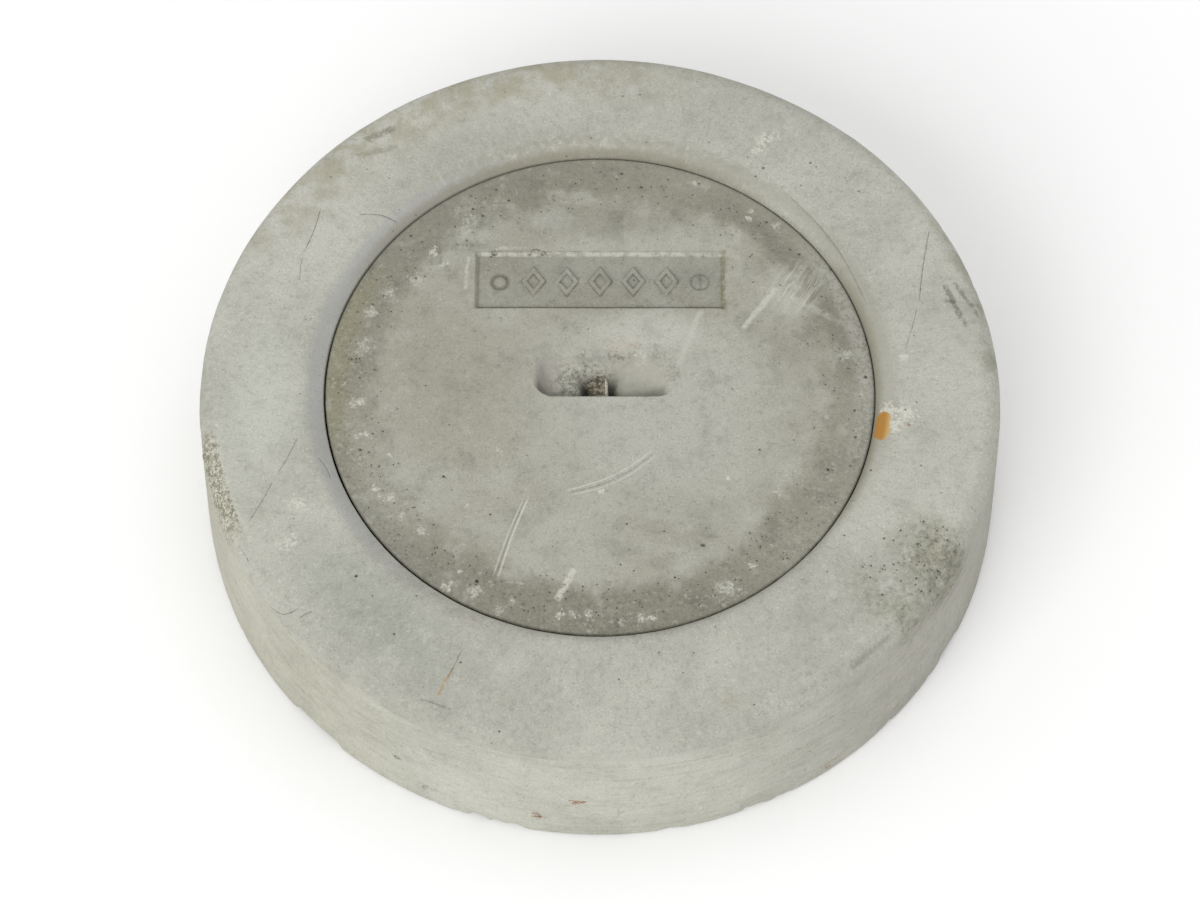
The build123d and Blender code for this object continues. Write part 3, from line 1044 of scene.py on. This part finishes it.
def ring_concrete():
    g = Graph("ring_concrete")
    top = g.remap(g.z, 84, 92)
    side = g.remap(g.z, 90, 80)
    sand = g.noise(1.1, 3, 9.0, 0.7)
    small = g.noise(3.6, 4, 12.0, 0.65)
    mid = g.noise(13, 5, 6.0, 0.65)
    # cloudy base, darker towards the far left edge and the near left
    g.colour = g.between(g.remap(g.noise(70, 3, 1.0), 0.36, 0.64), (179, 179, 168), (192, 192, 181))
    paint_clouds(g, RING_CLOUDS, 0.9, top)
    # mottles, short radial smears and sand
    g.scale(0.91, g.remap(mid, 0.5, 0.7))
    g.paint((198, 198, 189), g.remap(mid, 0.46, 0.3), 0.5)
    g.scale(0.90, g.remap(g.smears(5, 2.6), 0.5, 0.7), top)
    g.scale(0.85, g.remap(small, 0.53, 0.72))
    g.paint(PALE, g.remap(small, 0.45, 0.28), 0.45)
    g.scale(0.88, g.remap(g.salt, 0.56, 0.72))
    g.scale(0.72, g.remap(sand, 0.46, 0.28))
    g.scale(1.24, g.remap(sand, 0.54, 0.72))
    # side: long level streaks, yellower on the left, and darker on the right, which is painted shade as
    # that side faces away from the key light
    streaks = g.smears(2.2, 26, 5, 3.0)
    g.scale((0.90, 0.89, 0.86), side, g.remap(streaks, 0.5, 0.7))
    g.paint((190, 190, 180), side, g.remap(streaks, 0.5, 0.34), 0.5)
    g.scale((0.97, 0.96, 0.92), side, g.sector(206, 30))
    # painted shade: the right of the side darkened, as it faces away from the key light
    g.scale((0.88, 0.86, 0.86), side, g.sector(-22, 34), 0.9)
    g.scale(0.9, g.remap(g.z, 79, 86), g.remap(g.reach, 187, 192), g.sector(270, 80))
    # worn outer edge, rubbed sandy at the left
    rough = g.remap(mid, 0.40, 0.58)
    upper = g.remap(g.z, 62, 86)
    shoulder = g.remap(g.z, 70, 82)
    g.scale(1.07, g.sector(197, 9), g.band(188, 190, 1), shoulder)
    g.paint(OCHRE, g.sector(118, 34), g.band(172, 206, 11), rough, upper, 0.45)
    g.paint((140, 138, 120), g.sector(16, 16), g.band(190, 206, 5), rough, upper, 0.45)
    grain = g.add(g.salt, g.times(small, 0.5), g.times(sand, 0.8))
    worn = g.between(g.remap(grain, 1.03, 1.27), (204, 202, 186), (124, 120, 100))
    frayed_reach = g.add(g.reach, g.times(g.add(g.salt, -0.5), 7))
    g.paint(worn, g.sector(196.5, 8), g.remap(frayed_reach, 189.2, 190.2), shoulder, 0.85)
    g.scale(0.6, g.dots(3.2, 0.42, 0.45), g.band(182, 194, 2), g.sector(222, 26), rough)
    # inner lip: dirty at the far side, darker next to the gap, and rubbed at the left, where a cool grey
    # is painted shade as the lip faces away from the key light
    g.paint((158, 155, 140), g.band(135, 147, 2), top, g.sector(92, 36), g.remap(small, 0.32, 0.56), 0.5)
    # painted shade: a cool grey on the left lip, which faces away from the key light
    g.paint((170, 170, 170), g.band(134, 144, 3), g.sector(170, 50), top, 0.6)
    g.paint((138, 134, 116), g.band(134, 139.5, 2.5), g.sector(105, 45), top, 0.65)
    g.paint((138, 134, 114), g.band(134, 139.5, 2.5), g.sector(0, 30), top, 0.7)
    g.paint((164, 163, 150), g.band(138, 145, 3), g.sector(30, 50), top, 0.5)
    g.scale(0.9, g.band(134, 141, 3), g.sector(-60, 40), top)
    # rough dark patch at the near right
    thin = g.times(g.oval(144, -122, 38, 20, -42, 0.8), 0.6)
    patch = g.times(g.math("MAXIMUM", g.oval(162, -97, 34, 24, -52, 0.7), thin), upper)
    g.scale((0.82, 0.81, 0.73), patch, g.remap(mid, 0.2, 0.6))
    g.scale(0.8, patch, g.remap(small, 0.46, 0.56))
    g.scale(0.6, patch, g.remap(g.salt, 0.5, 0.64))
    # pores, marks, a rust stain, and painted shade in the holes and down the gap
    g.scale(0.55, g.dots(6.0, 0.40, 0.2))
    paint_marks(g, RING_SPOTS, RING_LINES)
    rust = g.times(g.stroke((137.5, -28, 92.5), (139, -19, 93.5), 6.4), g.add(g.salt, 0.3))
    rusty = g.between(g.remap(g.reach, 140, 144), (176, 128, 64), (204, 174, 118))
    g.paint(rusty, g.remap(rust, 0.3, 0.6))
    # painted shade in the holes, chips and dark grooves
    g.paint(HOLLOW, g.attribute("pit"), 0.85)
    # painted shade down the gap: the seat wall below the lid's face, the ledge and the bore
    g.paint((120, 117, 104), g.remap(g.z, 89.5, 86), g.remap(g.reach, 138.5, 137.5))
    height = g.add(sand, g.times(small, 0.6), g.times(g.salt, patch))
    return g.finish(0.86, height, 0.2)


# Spots on the lid's face: x, y, reach, colour, strength
LID_SPOTS = (
    # the first two dark spots are painted shade, where chips in the lid's edge would show the gap's
    # darkness
    (115.5, 69.5, 2.2, SOOT, 0.9),
    (120.0, 61.5, 1.8, SOOT, 0.8),
    (-109, -56, 3.4, CHALK, 0.8),
    (-107, -60, 2.6, CHALK, 0.7),
    (-102, -61, 3.4, CHALK, 0.7),
    (-96, -71, 3.2, PALE, 0.7),
    (-86, -79, 4.0, PALE, 0.8),
    (-50, -35, 2.4, CHALK, 0.8),
    (1, -57, 2.6, CHALK, 0.8),
    (-64, -66, 2.0, PALE, 0.8),
    (-73, -109, 3.6, CHALK, 0.8),
    (-60, -112, 5.0, PALE, 0.7),
    (-67, -101, 2.0, CHALK, 0.7),
    (-42, -117, 2.6, PALE, 0.8),
    (-19, -124, 3.2, CHALK, 0.8),
    (-13, -124, 3.0, CHALK, 0.7),
    (-5, -124, 3.0, CHALK, 0.8),
    (-48, -122, 4.0, PALE, 0.6),
    (-121, -8, 4.0, CHALK, 0.6),
    (-117, -7, 3.0, CHALK, 0.6),
    (-114, -26, 2.4, CHALK, 0.8),
    (-118, -26, 2.6, PALE, 0.8),
    (-103, -37, 1.6, CHALK, 0.8),
    (-117, 24, 6.5, PALE, 0.6),
    (-115, 28, 3.0, CHALK, 0.6),
    (-114, 44, 5.0, PALE, 0.7),
    (-105, 56, 4.6, PALE, 0.7),
    (-92, 62, 5.5, PALE, 0.6),
    (-84, 79, 3.4, CHALK, 0.8),
    (-78, 72, 3.0, PALE, 0.8),
    (-66, 97, 7.0, PALE, 0.5),
    (62, -50, 1.6, CHALK, 0.8),
    (86, -57, 3.4, PALE, 0.7),
    (61, -110, 7.0, PALE, 0.8),
    (20, -126, 3.2, CHALK, 0.7),
    (25, -126, 2.4, CHALK, 0.7),
    (73, -98, 2.4, CHALK, 0.7),
    (111, -16, 1.6, CHALK, 0.8),
    (77, 103, 2.6, CHALK, 0.7),
    (75, 99, 2.0, CHALK, 0.7),
    (89, 94, 3.0, PALE, 0.6),
    (48, 120, 2.0, PALE, 0.8),
    (122, 19, 4.0, PALE, 0.7),
    (11, 24, 8.0, (198, 180, 160), 0.4),
    (18, 25, 3.0, RUST, 0.35),
    (-8, 17, 6.0, SOOT, 0.5),
    (8, 17, 6.0, SOOT, 0.8),
    (14, 16, 5.0, SOOT, 0.8),
    (21, 17, 6.0, CHALK, 0.8),
    (28, 19, 7.0, (148, 146, 134), 0.8),
    (36, 8, 7.0, (148, 144, 132), 0.7),
    (-56, 62, 3.0, PALE, 0.3),
)

# Large soft clouds on the lid's face: x, y, half length, half width, turn, strength, colour
LID_CLOUDS = (
    (25, -20, 88, 66, -25, 0.85, (184, 184, 174)),
    (24, 32, 46, 18, 0, 0.85, (194, 194, 184)),
    (60, 10, 40, 26, 30, 0.5, (186, 186, 176)),
    (-78, 8, 62, 66, 0, 0.7, (158, 156, 142)),
    (-60, -30, 50, 22, 10, 0.5, (168, 166, 152)),
    (10, 106, 104, 26, 0, 0.85, (153, 151, 138)),
    (104, 18, 34, 60, 15, 0.5, (160, 158, 145)),
    (-70, 88, 34, 18, 35, 0.6, (178, 178, 168)),
    (-24, 99, 16, 9, 0, 0.5, (180, 181, 172)),
    (92, -66, 34, 15, 52, 0.8, (146, 144, 130)),
    (34, -80, 34, 9, -14, 0.6, (158, 156, 143)),
    (30, -96, 14, 8, 0, 0.6, (152, 150, 137)),
    (-58, -92, 28, 13, -30, 0.6, (156, 154, 140)),
    (95, 20, 30, 10, -20, 0.4, (150, 148, 135)),
    (95, 51, 26, 18, 38, 0.6, (180, 179, 168)),
)

# Pale lines on the lid's face: start, end, half width, colour, strength
LID_LINES = (
    ((-20, -115, 90), (-13, -101, 90), 2.6, CHALK, 0.7),
    ((50, 44, 90), (39, 15, 90), 2.4, PALE, 0.5),
    ((-38, 82, 90), (-52, 81, 90), 1.4, PALE, 0.6),
    ((-66, 76, 90), (-67, 58, 90), 1.6, PALE, 0.7),
    ((72, 36, 90), (87, 57, 90), 2.2, PALE, 0.8),
    ((-46, -107, 90), (-36, -108, 90), 0.8, PALE, 0.6),
    ((96, 52, 90), (113, 42, 90), 2.6, PALE, 0.35),
)


def lid_concrete():
    g = Graph("lid_concrete")
    sand = g.noise(1.1, 3, 9.0, 0.7)
    small = g.noise(3.4, 5, 12.0, 0.65)
    mid = g.noise(15, 5, 6.0, 0.65)
    # base, with a paler middle and a darker left and far side
    g.colour = g.between(g.remap(g.noise(48, 4, 1.0), 0.34, 0.66), (165, 163, 150), (179, 178, 166))
    paint_clouds(g, LID_CLOUDS, 0.8)
    # dirty band inside the rim
    rim = g.remap(g.add(g.reach, g.times(g.add(mid, -0.5), 50)), 104, 121)
    outer = g.remap(g.reach, 117, 130)
    g.paint((146, 144, 130), rim, 0.75)
    g.paint((132, 130, 116), g.remap(g.reach, 104, 117), g.sector(268, 38), 0.65)
    g.paint((136, 134, 121), rim, g.sector(132, 44), 0.6)
    g.paint((128, 126, 113), g.band(117, 127, 3), g.sector(32, 26), 0.6)
    g.paint((178, 177, 170), g.band(127, 138, 3), g.sector(10, 24), g.remap(g.salt, 0.44, 0.56), 0.6)
    g.paint((146, 143, 120), outer, g.sector(176, 24), 0.8)
    g.paint((138, 136, 124), outer, g.sector(216, 22), 0.6)
    g.paint((166, 165, 152), g.band(108, 128, 7), g.sector(203, 15), 0.6)
    # mottles and sand
    g.scale(0.85, g.remap(mid, 0.5, 0.7))
    g.paint((188, 187, 176), g.remap(mid, 0.45, 0.3), 0.4)
    g.scale(0.82, g.remap(small, 0.52, 0.72))
    g.scale(0.86, g.remap(g.salt, 0.55, 0.72))
    g.paint((190, 189, 178), g.remap(small, 0.44, 0.26), 0.4)
    g.scale(0.7, g.remap(sand, 0.46, 0.27))
    g.scale(1.26, g.remap(sand, 0.54, 0.73))
    # salt and pepper in the rim
    edge = g.times(g.remap(g.reach, 104, 122), g.add(0.25, g.times(g.sector(245, 95), 0.75)))
    clusters = g.add(0.12, g.remap(mid, 0.46, 0.62))
    g.paint(PALE, edge, clusters, g.remap(g.salt, 0.53, 0.66), 0.65)
    g.scale(0.72, edge, g.remap(g.salt, 0.46, 0.34))
    g.scale(0.5, g.dots(5.0, 0.4, 0.2), g.add(0.3, g.times(edge, 0.7)))
    # scraped patch, spots and lines
    face = g.remap(g.z, 89, 90)
    g.paint((199, 198, 187), g.brushed(98, 57, 21, 18, 58), g.remap(small, 0.3, 0.5), face, 0.85)
    paint_marks(g, [(x, y, LID_FACE_Z, *rest) for x, y, *rest in LID_SPOTS], LID_LINES)
    # pocket: an even tone inside, painted shade in purplish grey at the left end, where the slope faces
    # away from the key light, and mortar splashes round the bar
    depth = g.math("SUBTRACT", LID_FACE_Z, g.z)
    inside = g.times(g.remap(depth, 0.2, 3.0), g.remap(g.y, 30, 24), g.remap(g.reach, 60, 45))
    g.paint((174, 172, 159), inside, 0.6)
    # painted shade: purplish grey at the pocket's left end, whose slope faces away from the key light
    g.paint((154, 150, 146), inside, g.remap(g.x, -19, -31), 0.6)
    splash = g.times(inside, g.remap(g.vector("DISTANCE", g.wobbly, (-8, 7, 82)), 22, 8))
    g.scale(0.55, splash, g.remap(g.salt, 0.46, 0.6))
    g.paint(PALE, splash, g.remap(g.salt, 0.46, 0.36), 0.4)
    # panel: a darker floor, a painted highlight on the far wall, which faces the key light, and a thin
    # green film along the right wall
    off_y = g.math("ABSOLUTE", g.add(g.y, -PANEL_Y))
    across = g.remap(g.math("ABSOLUTE", g.x), PANEL_HALF_WIDTH - 1, PANEL_HALF_WIDTH - 3)
    g.scale(0.83, g.remap(off_y, PANEL_HALF_LENGTH - 1.4, PANEL_HALF_LENGTH - 2.6), across)
    # painted highlight on the far wall, which faces the key light
    far_wall_highlight = g.band(PANEL_Y + 14.6, PANEL_Y + 17.5, 0.4, g.y)
    g.paint((204, 203, 192), g.remap(depth, 0.1, 0.5), far_wall_highlight, across, g.remap(small, 0.6, 0.4), 0.7)
    from_right = g.math("ABSOLUTE", g.add(g.x, 1 - PANEL_HALF_WIDTH))
    film = g.times(g.remap(from_right, 2.6, 0.6), g.remap(off_y, 19, 17))
    g.paint((132, 130, 92), film, g.remap(small, 0.4, 0.55), 0.55)
    # scratches, and painted shade in corners, hollows and holes and on the lid's edge by the gap
    g.paint((214, 213, 202), g.attribute("scrape"))
    # painted shade in corners and hollows: the pocket's well, the foot of its wall, the panel's edges,
    # the lozenges' flanks and the imprints
    g.scale((0.34, 0.33, 0.29), g.attribute("painted_shade"), 0.85)
    # painted shade in the holes, chips and dark grooves
    g.paint(HOLLOW, g.attribute("pit"), 0.85)
    # painted shade on the lid's rounded edge and side, beside the gap
    g.scale(0.75, g.remap(g.reach, LID_TOP_RADIUS - 1.4, LID_TOP_RADIUS - 0.3))
    return g.finish(0.88, g.add(sand, g.times(g.salt, edge, 0.8)), 0.16)


def crust_mortar():
    g = Graph("crust_mortar")
    g.colour = g.between(g.remap(g.salt, 0.42, 0.60), (86, 81, 68), (164, 160, 144))
    g.paint((170, 156, 112), g.remap(g.noise(2.5, 3, 9.0), 0.56, 0.64), 0.5)
    return g.finish(0.92, g.salt, 0.5)


def bar_steel():
    g = Graph("bar_steel")
    scale = g.noise(2.0, 5, 1.0, 0.7)
    g.colour = g.between(g.remap(scale, 0.38, 0.62), (84, 76, 68), (128, 120, 112))
    # painted highlight: a near-white streak on the bar's right side, where the steel shows a bright
    # reflection
    painted_highlight = g.times(g.remap(g.x, 1.0, 2.0), g.remap(g.noise(1.5, 4, 6.0), 0.3, 0.45))
    g.paint((250, 248, 242), painted_highlight)
    g.paint(RUST, g.remap(g.noise(2.4, 4, 3.0), 0.56, 0.66), 0.6)
    return g.finish(g.remap(painted_highlight, 0, 1, 0.7, 0.5), scale, 0.2, 0.35, 0.4)


def cage_steel():
    g = Graph("cage_steel")
    scale = g.noise(3.0, 5, 1.0, 0.7)
    g.colour = g.between(g.remap(scale, 0.36, 0.64), (92, 82, 74), (140, 104, 76))
    g.paint(RUST, g.remap(g.noise(6, 4, 8.0), 0.52, 0.64), 0.7)
    return g.finish(0.72, scale, 0.25, 0.4, 0.4)


def studio_floor():
    g = Graph("studio_floor")
    g.colour = g.mix(g.noise(400, 2), (0.96, 0.96, 0.96, 1), (0.99, 0.99, 0.99, 1))
    return g.finish(0.9, g.noise(3, 2), 0.02)


# Studio, in metres


def camera():
    elevation = radians(60.04)
    distance = 1.994  # from the middle of the ring's top
    dip = radians(0.926)  # aimed a little below it
    data = bpy.data.cameras.new("camera")
    data.lens = 121.8
    data.sensor_width = 36.0
    eye = add_object("camera", data)
    eye.location = (0, -distance * cos(elevation), HEIGHT * MM + distance * sin(elevation))
    eye.rotation_euler = (pi / 2 - elevation - dip, 0, 0)
    bpy.context.scene.camera = eye


def softbox(name, azimuth, elevation, distance, size, power):
    """A square soft light aimed at the object. Azimuth is from +X towards +Y, in degrees."""
    data = bpy.data.lights.new(name, "AREA")
    data.size = size
    data.energy = power
    lamp = add_object(name, data)
    aim = Vector((0, 0, HEIGHT * MM / 2))
    level = cos(radians(elevation))
    way = Vector((level * cos(radians(azimuth)), level * sin(radians(azimuth)), sin(radians(elevation))))
    lamp.location = aim + way * distance
    lamp.rotation_euler = (-way).to_track_quat("-Z", "Y").to_euler()


def studio():
    world = bpy.data.worlds.new("studio")
    world.use_nodes = True
    world.node_tree.nodes["Background"].inputs[0].default_value = (1, 1, 1, 1)
    world.node_tree.nodes["Background"].inputs[1].default_value = 0.72
    bpy.context.scene.world = world
    bpy.context.scene.view_settings.view_transform = "Standard"
    softbox("key", 240, 36, 4.4, 3.0, 94)
    softbox("top", 60, 75, 4.4, 3.0, 24)


def floor(material):
    mesh = bpy.data.meshes.new("floor")
    half = 30.0
    corners = [(-half, -half, 0), (half, -half, 0), (half, half, 0), (-half, half, 0)]
    mesh.from_pydata(corners, [], [(0, 1, 2, 3)])
    mesh.materials.append(material)
    ground = add_object("floor", mesh)


camera()
studio()
floor(studio_floor())

ring_piece = ring(ring_concrete())
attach(ring_piece, "surround")
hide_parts("surround")

lid_piece = lid(lid_concrete())
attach(lid_piece, "lid")
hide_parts("lid")

crust_piece = bar_crust(crust_mortar())
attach(crust_piece, "lid")

steels = {"lifting_bar": bar_steel()}
cage_material = cage_steel()
for name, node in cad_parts.items():
    if name not in ("surround", "lid"):
        node.data.materials.clear()
        node.data.materials.append(steels.get(name, cage_material))
